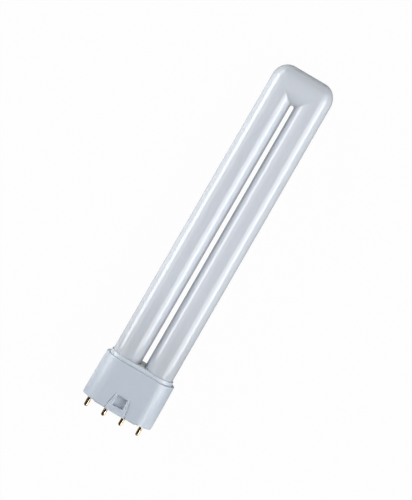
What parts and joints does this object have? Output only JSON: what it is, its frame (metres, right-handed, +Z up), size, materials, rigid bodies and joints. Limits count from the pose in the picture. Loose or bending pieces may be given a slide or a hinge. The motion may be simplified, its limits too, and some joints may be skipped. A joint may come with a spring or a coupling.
{
  "type": "compact fluorescent bulb",
  "caption": "Long twin-tube compact fluorescent bulb: two white glass legs joined at the tip, an oval plastic cap with a catch on each face, and contact pins in one line.",
  "frame": {"origin": "centre of the cap's seat face, on the lamp's axis midway between the two inner pins", "axes": "+Y along the lamp towards the glass tip, +X across the two tubes, +Z up from the table that the lamp lies on; lying on its back the lamp leans 0.91 degrees about X, tip down"},
  "size_m": [0.0434, 0.2244, 0.0238],
  "materials": {
    "coated_glass": "glossy clear glass over an even white coating, opaque",
    "cap_plastic": "satin moulded plastic, cool white",
    "holder_plastic": "satin moulded plastic, cool white",
    "cement": "matt, slightly grainy",
    "pin_brass": "bright turned brass",
    "lead_metal": "drawn wire"
  },
  "bodies": {
    "root": {"discharge_tube": "coated_glass", "cap_housing": "cap_plastic", "tube_holder": "holder_plastic", "bonding_cement_left": "cement", "bonding_cement_right": "cement", "contact_pin_1": "pin_brass", "contact_pin_2": "pin_brass", "contact_pin_3": "pin_brass", "contact_pin_4": "pin_brass", "lead_wire_1": "lead_metal", "lead_wire_2": "lead_metal", "lead_wire_3": "lead_metal", "lead_wire_4": "lead_metal"}
  },
  "joints": []
}
